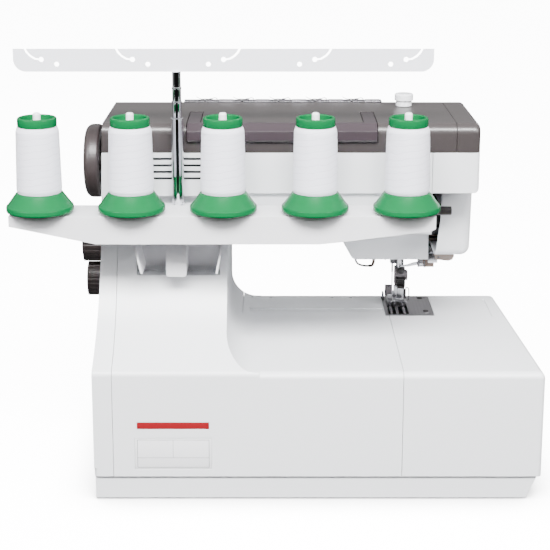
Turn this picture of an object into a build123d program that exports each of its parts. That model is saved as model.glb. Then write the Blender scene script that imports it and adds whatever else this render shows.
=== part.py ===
"""Five-spool serger overlock machine with a column, an arm and a wide bed.

The user sits at -Y, the spool stand is behind at +Y, and the handwheel is at +X. The machine stands on Z = 0.
Millimetres throughout.
"""

import os
from math import atan2, cos, degrees, hypot, pi, sin, sqrt

from build123d import *

os.makedirs("parts", exist_ok=True)

# ---------------------------------------------------------------- driving dimensions
wall = 2.5                      # casing wall
seam = 0.4                      # open gap between neighbouring covers
fit = 0.05                      # radial clearance of a running shaft

# Bed
bed_left_x = -237.2             # machine's left end, at the rear
bed_left_front_x = -225.5       # the left end leans in towards the front
bed_right_x = 163.0
bed_rear_y = 122.0
bed_front_y = -116.0
bed_top_z = 120.0
skirt_z = 22.0                  # the recessed skirt starts below this height
foot_h = 1.0

# Column and arm
column_left_x = 45.0
column_top_right_x = 157.0      # the handwheel side leans in towards the top
arm_left_x = -184.0
arm_rear_y = 45.0
arm_front_y = -112.0
arm_bottom_z = 225.0
arm_step_z = 264.5              # below this the rear wall stands back
arm_step = 4.0
cover_z = 302.0                 # lower edge of the dark top cover
top_z = 328.0
ridge_y = -78.0                 # the front slope starts here
slope_foot_z = 275.0
ramp_r = 132.0                  # concave sweep from the arm's back down to the bed
ramp_start_z = 240.0
bed_sweep_r = 26.0              # concave corner between the column and the bed

# Needle head and the face cover beside it
head_left_x, head_right_x = -147.0, -64.0
head_rear_y = -28.0
head_bottom_z = 182.0
face_right_x = -154.0
face_bottom_z = 194.0
face_foot_x = -150.2            # the face cover's rear edge leans in to here at its foot
face_seam_x = -141.0
end_cap_seam_x = -162.4

# Seams of the bed
end_seam_x = -112.0
side_seam_x = 145.5
front_seam_y = -40.0
panel_seam_y = -68.6
looper_left_x, looper_right_x = -178.0, 33.0
looper_low_z, looper_top_z = 30.0, 108.2

# Needle plate and what stands over it
plate = (-156.5, -108.5, -109.8, -43.5)
plate_t = 2.8
needle_bar_x, needle_bar_y, needle_bar_r = -121.5, -103.0, 3.0
presser_x, presser_y, presser_r = -125.0, -86.0, 4.0

# Drive
shaft_y, shaft_z = -28.0, 280.0
lower_y, lower_z = -20.0, 70.0
motor_y, motor_z, motor_r = 20.0, 150.0, 27.0
belt_x, belt_w, belt_t = 118.0, 8.0, 1.6
shaft_r, motor_shaft_r = 5.0, 3.0
pulley_r, motor_pulley_r = 20.0, 9.0

# Spool stand
tray_top_z = 257.0
tray_y0, tray_y1 = 60.0, 104.0
spool_x = [207.5 - 80.4 * i for i in range(5)]
spool_y, spool_r = 90.0, 29.5
spool_z0, spool_z1 = 257.3, 342.5
cone_z, rim_z = 276.0, 334.6
thread_r0, thread_r1 = 19.6, 18.6
pin_r, pin_top_z = 3.4, 346.5
antenna_x, antenna_y = 88.6, 54.0
guide_x0, guide_x1 = -138.7, 232.3
guide_z0, guide_z1, guide_t = 376.8, 397.0, 1.2

# Carry handle
handle_x0, handle_x1 = -90.5, 80.5
handle_arm_w = 11.5
handle_pivot_y, handle_pivot_z = -18.0, 324.0

# Tension dials in a row on the front slope
dial_x = [74.5 - 35.5 * i for i in range(5)]
dial_z, dial_r, dial_h = 288.0, 13.5, 11.0

# Attachment holes in the bed
attach_x = [25.0, 5.7, -57.5, -76.9]
attach_y, attach_r = -105.0, 1.9


# ---------------------------------------------------------------- helpers
def save(piece, name):
    """Labels a finished piece and writes it as one STEP file."""
    piece.part.label = name
    export_step(piece.part, f"parts/{name}.step")


def slab(x0, x1, y0, y1, z0, z1, mode=Mode.ADD):
    """A plain block between two corners."""
    with Locations(((x0 + x1) / 2, (y0 + y1) / 2, (z0 + z1) / 2)):
        Box(x1 - x0, y1 - y0, z1 - z0, mode=mode)


def rod(plane, radius, length, mode=Mode.ADD):
    """A round bar that starts at the plane and runs along its normal."""
    with BuildSketch(plane) as end:
        Circle(radius)
    extrude(end.sketch, amount=length, mode=mode)


def prism(plane, points, length, mode=Mode.ADD):
    """A straight-sided block from a closed outline on the plane, along its normal."""
    with BuildSketch(plane) as end:
        with BuildLine():
            Polyline(*points, close=True)
        make_face()
    extrude(end.sketch, amount=length, mode=mode)


def along_x(x, y, z):
    """Plane with its normal along +X and its local axes along +Y and +Z."""
    return Plane(origin=(x, y, z), x_dir=(0, 1, 0), z_dir=(1, 0, 0))


def upright(x, y, z):
    """Plane with its normal along +Z."""
    return Plane(origin=(x, y, z))


def along_y(x, y, z):
    """Plane with its normal along -Y and its local axes along +X and +Z."""
    return Plane(origin=(x, y, z), x_dir=(1, 0, 0), z_dir=(0, -1, 0))


def zone(*boxes):
    """The space that a cover may fill: several blocks joined."""
    with BuildPart() as space:
        for box in boxes:
            slab(*box)
    return space.part


# ---------------------------------------------------------------- casing
def ramp_y(z):
    """Rear face of the column at a height, on the circle that leaves the arm's back upright."""
    return min(arm_rear_y + ramp_r - sqrt(ramp_r**2 - (ramp_start_z - z) ** 2), bed_rear_y)


def bed_block(inset):
    """The bed and its recessed skirt, drawn in by inset and then open below."""
    i = inset
    lean = 4.0                  # the skirt's left end, which slopes in below
    slope = 10.0
    upper = [
        (bed_left_x + i, bed_rear_y - i),
        (bed_right_x - i, bed_rear_y - i),
        (bed_right_x - i, bed_front_y + i),
        (bed_left_front_x + i, bed_front_y + i),
    ]
    lower = [
        (bed_left_x + i + lean, bed_rear_y - i - 2.0),
        (bed_right_x - i - 0.8, bed_rear_y - i - 2.0),
        (bed_right_x - i - 0.8, bed_front_y + i + 2.0),
        (bed_left_front_x + i + lean, bed_front_y + i + 2.0),
    ]
    with BuildPart() as block:
        prism(Plane.XY.offset(skirt_z + i), upper, bed_top_z - skirt_z - 2 * i)
        fillet(block.edges().filter_by(Axis.Z), 4.0 - i / 2)
        fillet(block.faces().sort_by(Axis.Z)[-1].edges(), 6.0 - i)
        start = foot_h - (8 if i else 0)
        prism(Plane.XY.offset(start), lower, skirt_z + i + 1 - start)
        under_end = [
            (bed_left_x - 5, skirt_z + i), (bed_left_x + lean + i, skirt_z + i),
            (bed_left_x + lean + slope + i, 0), (bed_left_x + lean + slope + i, -9), (bed_left_x - 5, -9),
        ]
        prism(Plane.XZ.offset(-140), under_end, 280, mode=Mode.SUBTRACT)
    return block.part


def tower_block(inset):
    """Column and arm: the side view cut to the view from behind."""
    i = inset
    low = 30.0
    with BuildPart() as block:
        with BuildSketch(Plane.YZ.offset(arm_left_x + i)) as side:
            with BuildLine():
                end = (ramp_y(bed_top_z - i) - i, bed_top_z - i)
                middle_z = (ramp_start_z + end[1]) / 2
                ThreePointArc(
                    (arm_rear_y - i, ramp_start_z),
                    (ramp_y(middle_z) - i * 0.9, middle_z - i * 0.3),
                    end,
                )
                Polyline(
                    end,
                    (end[0], low),
                    (arm_front_y + i, low),
                    (arm_front_y + i, slope_foot_z - i * 0.3),
                    (ridge_y + i * 0.5, top_z - i),
                    (arm_rear_y - i, top_z - i),
                    (arm_rear_y - i, ramp_start_z),
                )
            make_face()
            rear_top = side.vertices().sort_by_distance((arm_rear_y - i, top_z - i, 0))[0]
            fillet(rear_top, 9.0 - i)
            ramp_foot = side.vertices().sort_by_distance((end[0], end[1], 0))[0]
            fillet(ramp_foot, 6.0 - i)
        extrude(amount=bed_right_x - arm_left_x - 2 * i)
        with BuildSketch(Plane.XZ.offset(-200)) as front:
            with BuildLine():
                Polyline(
                    (bed_right_x - i, low),
                    (bed_right_x - i, bed_top_z),
                    (column_top_right_x - i, top_z),
                    (arm_left_x + i, top_z),
                    (arm_left_x + i, arm_step_z + i),
                    (face_seam_x - 1.0 + i, arm_step_z + i),
                    (face_seam_x - 1.0 + i, arm_bottom_z + i),
                    (column_left_x + i, arm_bottom_z + i),
                    (column_left_x + i, bed_top_z - i),
                    (column_left_x + i - 30, bed_top_z - i),
                    (column_left_x + i - 30, low),
                    close=True,
                )
            make_face()
            for z, radius in ((bed_top_z - i, bed_sweep_r), (arm_bottom_z + i, 12)):
                fillet(front.vertices().sort_by_distance((column_left_x + i, z, 0))[0], radius)
        extrude(amount=400, mode=Mode.INTERSECT)
        fillet(block.faces().sort_by(Axis.X)[0].edges(), 5.0 - i)
    return block.part


def head_block(inset):
    """Needle head under the arm; drawn in, it runs out below and leaves the head open."""
    i = inset
    bottom = head_bottom_z - (30 if i else 0)
    corners = [
        (head_left_x + i, arm_step_z + 2),
        (head_left_x + i, bottom),
        (head_right_x - 10 - i, bottom),
        (head_right_x - i, head_bottom_z + 18),
        (head_right_x - i, arm_step_z + 2),
    ]
    if i:
        corners.insert(3, (head_right_x - 10 - i, head_bottom_z + 1))
    with BuildPart() as block:
        prism(Plane.XZ.offset(-head_rear_y + i), corners, head_rear_y - arm_front_y - 2 * i)
        if not i:
            for x, z, radius in ((head_right_x - 10, bottom, 6), (head_right_x, head_bottom_z + 18, 9)):
                lower_edge = block.edges().filter_by(Axis.Y).sort_by_distance((x, -70, z))[0]
                fillet(lower_edge, radius)
    return block.part


def face_block(inset):
    """The face cover's lower half; drawn in, it is open towards the head."""
    i = inset
    with BuildPart() as block:
        with BuildSketch(along_x(arm_left_x + 1 + i, 0, 0)) as side:
            with BuildLine():
                Polyline(
                    (arm_front_y + i, face_bottom_z + i),
                    (4 - i, face_bottom_z + i),
                    (14 - i, arm_step_z + 2 + i),
                    (arm_front_y + i, arm_step_z + 2 + i),
                    close=True,
                )
            make_face()
            fillet(side.vertices().sort_by_distance((4 - i, face_bottom_z + i, 0))[0], 9 - i)
        extrude(amount=face_foot_x + (1.7 if i else 0) - (arm_left_x + 1 + i))
        outer_foot = (arm_left_x + 1 + i, -50, face_bottom_z + i)
        fillet(block.edges().filter_by(Axis.Y).sort_by_distance(outer_foot)[0], 9 - i)
        if not i:
            lean = [
                (face_right_x, 280), (face_right_x, 232), (face_foot_x, face_bottom_z),
                (face_foot_x, 190), (face_foot_x + 2, 190), (face_foot_x + 2, 280),
            ]
            prism(Plane.XZ.offset(-60), lean, 200, mode=Mode.SUBTRACT)
    return block.part


def hollows(grow):
    """What is sunk into the casing from outside, each block grown by the wall for the inner skin."""
    g = grow
    with BuildPart() as sunk:
        # grip and arms of the carry handle
        slab(handle_x0 - 0.7 - g, handle_x1 + 0.7 + g, 33.3 - g, 60, 311.3 - g, 340)
        for x0 in (handle_x0, handle_x1 - handle_arm_w):
            slab(x0 - 0.7 - g, x0 + handle_arm_w + 0.7 + g, handle_pivot_y - 4.8 - g, 60, 319.3 - g, 340)
        # rear pocket that takes the spool stand's tongue
        slab(51.6 - g, 127.5 + g, 38.0 - g, 140, 190.0 - g, 262.0 + g)
        # the arm's back is set in below the step
        slab(-300, column_left_x - 1, arm_rear_y - arm_step - g, 60, 200, arm_step_z + g)
    return sunk.part


def casing():
    """The whole hollow casing before it is cut into covers."""
    blocks = (bed_block, tower_block, head_block, face_block)
    with BuildPart() as inside:
        for block in blocks:
            add(block(wall))
        add(hollows(wall), mode=Mode.SUBTRACT)
    with BuildPart() as shell:
        for block in blocks:
            add(block(0))
        add(hollows(0), mode=Mode.SUBTRACT)
        add(inside.part, mode=Mode.SUBTRACT)
    return shell.part


whole = casing()


# ---------------------------------------------------------------- covers cut from the casing
g = seam / 2
low_z, high_z = skirt_z + g, cover_z - g
px0, px1, py0, py1 = plate

# everything behind the front seam, between the face cover and the side cover
with BuildPart() as rear_cover:
    add(whole)
    y0, x1 = front_seam_y + g, side_seam_x - g
    add(
        zone(
            (face_seam_x + g, x1, y0, 140, 150, high_z),
            (head_left_x - 1, 0, y0, 140, 150, arm_step_z - g),
            (20, x1, y0, 140, low_z, high_z),
            (end_seam_x + g, looper_right_x - g, panel_seam_y + g, 140, low_z, 125),
            (0, x1, y0, 140, low_z, 125),
        ),
        mode=Mode.INTERSECT,
    )
    slab(px0 - 0.3, px1 + 0.3, py0 - 0.3, py1 + 0.3, 110, 125, mode=Mode.SUBTRACT)
    # bevelled groove along the front panel
    groove = [
        (panel_seam_y - 1, bed_top_z + 1), (panel_seam_y - 1, bed_top_z - 1.3),
        (-55.3, bed_top_z), (-55.3, bed_top_z + 1),
    ]
    prism(along_x(px1 + 1, 0, 0), groove, column_left_x - 12 - px1, mode=Mode.SUBTRACT)
    # vent slots in the arm's back
    for i in range(4):
        slab(60, 125, 30, 60, 276.9 + 6 * i, 279.3 + 6 * i, mode=Mode.SUBTRACT)
    # shallow seats for the rating plate and for the plain strip above it
    slab(57.7, 126.3, bed_rear_y - 0.5, bed_rear_y + 1, 29.3, 58.9, mode=Mode.SUBTRACT)
    slab(59.7, 124.3, bed_rear_y - 0.5, bed_rear_y + 1, 67.2, 73.8, mode=Mode.SUBTRACT)

with BuildPart() as front_cover:
    add(whole)
    y1, x1 = front_seam_y - g, side_seam_x - g
    add(
        zone(
            (face_seam_x + g, x1, -140, y1, 150, high_z),
            (head_left_x - 1, 0, -140, y1, 150, arm_step_z - g),
            (looper_right_x + g, x1, -140, y1, low_z, high_z),
        ),
        mode=Mode.INTERSECT,
    )
    slope = Plane(
        origin=(0, 0, 0), x_dir=(1, 0, 0),
        z_dir=(0, -(top_z - slope_foot_z), ridge_y - arm_front_y),
    )
    dial_y = ridge_y - (top_z - dial_z) * (ridge_y - arm_front_y) / (top_z - slope_foot_z)
    for x in dial_x:
        stem_way = Plane(origin=(x, dial_y + 8, dial_z - 5), x_dir=(1, 0, 0), z_dir=slope.z_dir)
        rod(stem_way, 3.4, 20, mode=Mode.SUBTRACT)

with BuildPart() as side_cover:
    add(whole)
    add(zone((side_seam_x + g, 170, -140, 140, low_z, high_z)), mode=Mode.INTERSECT)
    rod(along_x(140, shaft_y, shaft_z), shaft_r + 2, 40, mode=Mode.SUBTRACT)
    for z in (202.5, 163.5):
        rod(along_x(140, shaft_y, z), 4.4, 40, mode=Mode.SUBTRACT)
    slab(150, 170, 46.7, 73.3, 36.7, 57.3, mode=Mode.SUBTRACT)
    slab(150, 170, 82.7, 101.3, 36.7, 57.3, mode=Mode.SUBTRACT)

with BuildPart() as bed_end_cover:
    add(whole)
    add(zone((-240, end_seam_x - g, -140, 140, low_z, 125)), mode=Mode.INTERSECT)
    slab(looper_left_x - g, -100, -140, bed_front_y + 4, 10, looper_top_z + 2 * g, mode=Mode.SUBTRACT)
    slab(px0 - 0.3, px1 + 0.3, py0 - 0.3, py1 + 0.3, 110, 125, mode=Mode.SUBTRACT)
    # finger groove beside the end
    slab(-213.5, -211.5, -100, -40, bed_top_z - 1, bed_top_z + 1, mode=Mode.SUBTRACT)

with BuildPart() as bed_front_panel:
    add(whole)
    add(
        zone((end_seam_x + g, looper_right_x - g, -140, panel_seam_y - g, looper_top_z + 2 * g, 125)),
        mode=Mode.INTERSECT,
    )
    slab(px0 - 0.3, px1 + 0.3, py0 - 0.3, py1 + 0.3, 100, 125, mode=Mode.SUBTRACT)
    for x in attach_x:
        rod(upright(x, attach_y, 110), attach_r, 20, mode=Mode.SUBTRACT)

with BuildPart() as looper_cover:
    add(whole)
    add(
        zone(
            (
                looper_left_x + g, looper_right_x - g, -140, bed_front_y + wall + 0.05,
                looper_low_z + 0.4, looper_top_z,
            )
        ),
        mode=Mode.INTERSECT,
    )
    # pull lip along the top and stiffening ribs inside
    lip = [(bed_front_y + 0.5, 92), (-122, 98), (-122, 101), (bed_front_y + 0.5, 101)]
    prism(along_x(-100, 0, 0), lip, 60)
    for x in (-160, -60, 15):
        slab(x, x + 2, bed_front_y + wall - 0.5, bed_front_y + 6, 40, 104)

with BuildPart() as face_cover:
    add(whole)
    add(
        zone(
            (-200, face_seam_x - g, -140, 140, arm_step_z + g, high_z),
            (-200, -149, -140, 140, 150, arm_step_z + 1),
        ),
        mode=Mode.INTERSECT,
    )

with BuildPart() as top_cover:
    add(whole)
    add(zone((end_cap_seam_x + g, 170, -140, 140, cover_z + g, 340)), mode=Mode.INTERSECT)
    rod(upright(-122.7, -54, 300), 4.4, 40, mode=Mode.SUBTRACT)
    for x0, x1 in ((handle_x0 - 3.5, handle_x0 - 0.5), (handle_x1 + 0.5, handle_x1 + 3.5)):
        rod(along_x(x0, handle_pivot_y, handle_pivot_z), 2.6, x1 - x0, mode=Mode.SUBTRACT)

with BuildPart() as top_end_cap:
    add(whole)
    add(zone((-200, end_cap_seam_x - g, -140, 140, cover_z + g, 340)), mode=Mode.INTERSECT)

with BuildPart() as base_pan:
    add(whole)
    add(
        zone(
            (-240, 170, -140, 140, 0, skirt_z - g),
            (looper_left_x + g, looper_right_x - g, -140, bed_front_y + 3.8, 10, looper_low_z - 0.4),
        ),
        mode=Mode.INTERSECT,
    )
    slab(-214, 161, bed_front_y + 3, bed_rear_y - 3, foot_h, foot_h + 3)

with BuildPart() as rubber_feet:
    for x in (-195, 140):
        for y in (-92, 98):
            rod(upright(x, y, 0), 10, foot_h)


# ---------------------------------------------------------------- cast frame inside
with BuildPart() as main_frame:
    slab(-165, 140, -105, 95, 8, 14)                        # bed casting
    for x in (-150, 120):
        for y in (-70, 70):
            rod(upright(x, y, foot_h + 3), 8, 5 - foot_h)   # pads on the pan
    slab(52, 60, -60, 30, 14, 296)                          # column wall
    slab(-100, 60, -60, 30, 236, 246)                       # arm floor
    slab(-100, 60, 22, 30, 246, 296)                        # arm's rear web
    slab(-100, -92, -60, 30, 246, 296)                      # head bearing wall
    slab(-140, -92, -108, -58, 222, 246)                    # needle head
    slab(130, 136, -50, -6, 14, 296)                        # outer bearing wall
    slab(-96, -88, -34, -6, 14, 88)                         # lower shaft pedestal
    slab(-160, -88, -48, -42, 14, 98)                       # looper bracket
    for y in (-103, -50):
        rod(upright(-150, y, 14), 5, bed_top_z - plate_t - 14)
    for x, z in ((-96, 50), (-136, 50), (-122, 44)):
        rod(along_y(x, -47, z), 4, 49)                      # looper pins
    rod(along_x(-101, shaft_y, shaft_z), shaft_r + fit, 240, mode=Mode.SUBTRACT)
    rod(along_x(-101, lower_y, lower_z), shaft_r + fit, 240, mode=Mode.SUBTRACT)
    rod(upright(needle_bar_x, needle_bar_y, 200), needle_bar_r + fit, 80, mode=Mode.SUBTRACT)
    rod(upright(presser_x, presser_y, 200), presser_r + fit, 80, mode=Mode.SUBTRACT)
    rod(along_x(128, motor_y, motor_z), 5, 10, mode=Mode.SUBTRACT)

with BuildPart() as drive_motor:
    rod(along_x(64, motor_y, motor_z), motor_r, 42)
    fillet(drive_motor.edges().filter_by(GeomType.CIRCLE), 3)
    slab(60, 66, motor_y - 20, motor_y + 10, motor_z - 20, motor_z + 20)
    rod(along_x(70, motor_y, motor_z), motor_shaft_r + fit, 50, mode=Mode.SUBTRACT)


def pulley(x, y, z, radius, bore):
    """A flanged belt pulley on a shaft along X."""
    half = belt_w / 2 + 0.4
    rod(along_x(x - half, y, z), radius, 2 * half)
    for side in (x - half - 1.4, x + half):
        rod(along_x(side, y, z), radius + 2.6, 1.4)
    if bore:
        rod(along_x(x - half - 2, y, z), bore, 2 * half + 4, mode=Mode.SUBTRACT)


with BuildPart() as arm_pulley:
    pulley(belt_x, shaft_y, shaft_z, pulley_r, shaft_r)

with BuildPart() as lower_pulley:
    pulley(belt_x, lower_y, lower_z, pulley_r, shaft_r)

with BuildPart() as motor_pulley:
    pulley(belt_x, motor_y, motor_z, motor_pulley_r, 0)
    rod(along_x(72, motor_y, motor_z), motor_shaft_r, 46)

belt_wheels = [(lower_y, lower_z, pulley_r), (motor_y, motor_z, motor_pulley_r), (shaft_y, shaft_z, pulley_r)]


def belt_outline(extra):
    """Outline of the loop around the three pulleys, offset outward by extra."""
    with BuildSketch(along_x(belt_x - belt_w / 2, 0, 0)) as loop:
        for n in range(3):
            (ya, za, ra), (yb, zb, rb) = belt_wheels[n], belt_wheels[(n + 1) % 3]
            ra, rb = ra + extra, rb + extra
            span, away = hypot(yb - ya, zb - za), atan2(zb - za, yb - ya)
            lift = away - pi / 2 + asin_ratio(ra - rb, span)
            pa = (ya + ra * cos(lift), za + ra * sin(lift))
            pb = (yb + rb * cos(lift), zb + rb * sin(lift))
            with BuildLine():
                Polyline((ya, za), pa, pb, (yb, zb), close=True)
            make_face()
            with Locations((ya, za)):
                Circle(ra)
        with BuildLine():
            Polyline(*[(y, z) for y, z, r in belt_wheels], close=True)
        make_face()
    return loop.sketch


def asin_ratio(rise, span):
    """Angle whose sine is rise over span."""
    return atan2(rise, sqrt(span**2 - rise**2))


with BuildPart() as timing_belt:
    extrude(belt_outline(0.3 + belt_t), amount=belt_w)
    extrude(belt_outline(0.3), amount=belt_w, mode=Mode.SUBTRACT)

with BuildPart() as arm_shaft:
    rod(along_x(-106, shaft_y, shaft_z), shaft_r, 282)
    rod(along_x(-112, shaft_y, shaft_z), 15, 6)
    rod(along_x(-116, shaft_y + 10, shaft_z), 3, 5)

with BuildPart() as lower_shaft:
    rod(along_x(-100, lower_y, lower_z), shaft_r, 242)
    for x, turn in ((-80, 4), (-62, -4), (-44, 4)):
        rod(along_x(x, lower_y + turn, lower_z), 11, 8)

with BuildPart() as handwheel:
    with BuildSketch(Plane(origin=(166, shaft_y, shaft_z), x_dir=(0, 1, 0), z_dir=(1, 0, 0))) as disc:
        Circle(35)
    extrude(amount=14.5)
    fillet(handwheel.edges().filter_by(GeomType.CIRCLE).sort_by(Axis.X)[-1], 7)
    fillet(handwheel.edges().filter_by(GeomType.CIRCLE).sort_by(Axis.X)[0], 2.5)
    rod(along_x(160, shaft_y, shaft_z), shaft_r, 16, mode=Mode.SUBTRACT)
    rod(along_x(160, shaft_y, shaft_z), 25, 10, mode=Mode.SUBTRACT)
    rod(along_x(166, shaft_y, shaft_z), 9, 5)
    rod(along_x(160, shaft_y, shaft_z), shaft_r, 16, mode=Mode.SUBTRACT)


def side_dial(z, radius, end_x):
    """A ribbed dial on the machine's right side, with its stem."""
    rod(along_x(163.6, shaft_y, z), radius, end_x - 163.6)
    ring = 24
    for i in range(ring):
        a = 2 * pi * i / ring
        rim = along_x(167, shaft_y + (radius + 1.1) * cos(a), z + (radius + 1.1) * sin(a))
        rod(rim, 1.6, 40, mode=Mode.SUBTRACT)
    rod(along_x(142, shaft_y, z), 4, 24)


with BuildPart() as stitch_length_dial:
    side_dial(202.5, 21, 185)

with BuildPart() as differential_dial:
    side_dial(163.5, 16.5, 182)

# ---------------------------------------------------------------- needle area
with BuildPart() as needle_plate:
    slab(px0, px1, py0, py1, bed_top_z - plate_t, bed_top_z)
    slab(-127.5, -115.5, -106, -100, 110, 125, mode=Mode.SUBTRACT)          # needle slot
    slab(-132, -112, -80, -49, 110, 125, mode=Mode.SUBTRACT)                # feed dog window
    slab(-113.3, px1 + 1, -107, -96, 110, 125, mode=Mode.SUBTRACT)          # knife notch
    for y in (-84, -87.5, -91):
        slab(-116, -111, y - 1, y + 0.6, 110, 125, mode=Mode.SUBTRACT)
    for y in (-103, -50):
        rod(upright(-150, y, 110), 1.8, 20, mode=Mode.SUBTRACT)
        rod(upright(-150, y, bed_top_z - 1.2), 3.6, 3, mode=Mode.SUBTRACT)

with BuildPart() as plate_screws:
    for y in (-103, -50):
        rod(upright(-150, y, bed_top_z - 1.2), 3.4, 1.1)
        rod(upright(-150, y, bed_top_z - plate_t), 1.7, plate_t - 1.2)
        slab(-153, -147, y - 0.4, y + 0.4, bed_top_z - 0.6, bed_top_z + 1, mode=Mode.SUBTRACT)

with BuildPart() as feed_dog:
    for x in (-129.5, -122.5, -116.5):
        slab(x, x + 2.6, -75, -54, 110, 118.9)
        for i in range(7):
            y = -75 + 3 * i
            prism(along_x(x, 0, 0), [(y, 118.8), (y + 2.6, 118.8), (y + 1.2, 119.9)], 2.6)
    slab(-129.5, -113.9, -75, -54, 106, 111)
    slab(-126, -118, -56, -36, 101, 107)

with BuildPart() as presser_bar:
    rod(upright(presser_x, presser_y, 134), presser_r, 140)

with BuildPart() as presser_ankle:
    slab(presser_x - 5.2, presser_x + 5.2, presser_y - 6, presser_y + 5, 140, 158)
    slab(presser_x - 7.6, presser_x - 5, presser_y - 1, presser_y + 5, 145.5, 155)
    for side in (-4.6, 2.6):
        slab(presser_x + side, presser_x + side + 2, presser_y - 4.6, presser_y + 4.6, 133, 141)
    rod(upright(presser_x, presser_y, 130), presser_r, 40, mode=Mode.SUBTRACT)
    rod(along_y(presser_x - 0.4, presser_y + 10.4, 153.6), 3.6, 5.6)
    slab(presser_x - 4.6, presser_x + 4.6, presser_y - 4.6, presser_y + 4.6, 128, 134)

with BuildPart() as presser_foot:
    slab(-132, -112.4, -112, -76, 120.3, 122.2)
    prism(along_x(-132, 0, 0), [(-112, 120.3), (-112, 122.2), (-115.5, 124.6), (-116, 123.2)], 19.6)
    slab(-132, -112.4, -82, -75, 120.3, 125)
    slab(presser_x - 5, presser_x + 5, presser_y - 5, presser_y + 5, 122, 128)
    slab(-127.5, -116.5, -106.5, -99.5, 119, 126, mode=Mode.SUBTRACT)
    slab(-130.4, -129.0, -120, -98, 119, 130, mode=Mode.SUBTRACT)
    slab(-117.2, -112.4, -84, -76, 121, 132.5)

with BuildPart() as foot_release_lever:
    slab(presser_x - 5.2, presser_x + 4, -79.8, -77.2, 139.5, 148.2)
    rod(along_x(presser_x - 5.2, -78.6, 145.5), 1.8, 9.2)
    slab(presser_x - 4, presser_x + 3, -77.6, -71.5, 139.5, 141.6)

with BuildPart() as lifter_lever:
    rod(along_x(-152.4, -34, 240), 6, 4.6)
    rod(along_x(-153, -34, 240), 3, 14)
    arm = [(-36, 235), (-36, 245.5), (22, 245.8), (25, 243.5), (25, 240.5), (22, 238.8)]
    prism(along_x(-152.4, 0, 0), arm, 4.6)
    tip = [(18, 238.8), (18, 246), (22.5, 246.8), (26.5, 244.6), (26.5, 240.6), (22.5, 238.6)]
    prism(along_x(-161.8, 0, 0), tip, 14)

for cover in (rear_cover, front_cover):
    with cover:
        rod(along_x(-151, -34, 240), 3.4, 8, mode=Mode.SUBTRACT)

with BuildPart() as needle_bar:
    rod(upright(needle_bar_x, needle_bar_y, 166), needle_bar_r, 100)

with BuildPart() as needle_clamp:
    slab(needle_bar_x - 4.8, needle_bar_x + 4.8, -107, -99, 158, 170)
    rod(upright(needle_bar_x, needle_bar_y, 166), needle_bar_r, 10, mode=Mode.SUBTRACT)
    rod(along_x(needle_bar_x - 7.4, needle_bar_y, 162), 1.8, 4)
    for x in (needle_bar_x - 2.5, needle_bar_x + 2.5):
        rod(upright(x, needle_bar_y, 150), 1.0, 14, mode=Mode.SUBTRACT)

with BuildPart() as needles:
    for x in (needle_bar_x - 2.5, needle_bar_x + 2.5):
        rod(upright(x, needle_bar_y, 148), 1.0, 16)
        with Locations((x, needle_bar_y, 138.5)):
            Cylinder(0.55, 19.4)
        with Locations((x, needle_bar_y, 127.4)):
            Cone(0.1, 0.55, 3)


def looper(x, z, blade_y, reach, rise, hook):
    """A looper: a hub on its pin, an arm and a curved blade that ends in a point."""
    rod(along_y(x, blade_y + 8, z), 7, 9)
    arm = [(x - 5, z), (x + 5, z), (x + reach + 3, z + rise), (x + reach - 3, z + rise)]
    prism(along_y(0, blade_y + 2, 0), arm, 2.4)
    side = 3 if hook > 0 else -3
    tip = [
        (x + reach - side, z + rise - 1),
        (x + reach + side, z + rise - 1),
        (x + reach + hook, z + rise + 5),
        (x + reach + hook * 1.1, z + rise + 7.5),
    ]
    prism(along_y(0, blade_y + 2, 0), tip, 2.4)
    rod(along_y(x, blade_y + 9, z), 4 + fit, 12, mode=Mode.SUBTRACT)


with BuildPart() as lower_looper:
    looper(-136, 50, -98, -2, 44, 11)

with BuildPart() as chain_looper:
    looper(-122, 44, -84, -4, 44, 10)

with BuildPart() as upper_looper:
    looper(-96, 50, -92, 0, 50, -9)

with BuildPart() as upper_knife:
    slab(-110.6, -108.9, -106.5, -98, 96, 126.5)
    slab(-110.6, -102, -102, -98, 84, 97)

with BuildPart() as lower_knife:
    slab(-112.9, -110.9, -106.5, -96.5, 98, 119.9)
    slab(-118, -110.9, -101, -96.5, 98, 101)

# ---------------------------------------------------------------- controls
with BuildPart() as pressure_dial:
    rod(upright(-122.7, -54, 312), 4, 20)
    rod(upright(-122.7, -54, 328.6), 7.6, 7)
    rod(upright(-122.7, -54, 334), 8.9, 6.4)
    fillet(pressure_dial.edges().filter_by(GeomType.CIRCLE).sort_by(Axis.Z)[-1], 1.5)


def tension_dial(x):
    """A tension dial on the front slope: a milled rim, a smaller hub and its stem."""
    out = slope.z_dir
    foot = Vector(x, dial_y, dial_z) + out * 0.8
    face = Plane(origin=foot, x_dir=(1, 0, 0), z_dir=out)
    rod(face, dial_r, dial_h)
    for i in range(20):
        a = 2 * pi * i / 20
        notch = foot + face.x_dir * (14.3 * cos(a)) + face.y_dir * (14.3 * sin(a)) + out * 2
        rod(Plane(origin=notch, x_dir=(1, 0, 0), z_dir=out), 1.6, 20, mode=Mode.SUBTRACT)
    rod(face.offset(dial_h), 8, 2)
    rod(face.offset(-9), 3, 10)


for number, x in enumerate(dial_x, start=1):
    with BuildPart() as one_dial:
        tension_dial(x)
    save(one_dial, f"tension_dial_{number}")

with BuildPart() as power_inlet:
    slab(152, 163.5, 47, 73, 37, 57)
    slab(154, 170, 50, 70, 40, 54, mode=Mode.SUBTRACT)
    for y, z in ((56, 44), (64, 44), (60, 50)):
        slab(154, 161, y - 2, y + 2, z - 0.8, z + 0.8)

with BuildPart() as power_switch:
    with BuildSketch(Plane.XY.offset(39)) as rocker:
        with BuildLine():
            Polyline((156, 84), (162.6, 84), (161.6, 92), (164.4, 100), (156, 100), close=True)
        make_face()
    extrude(amount=16)

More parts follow.
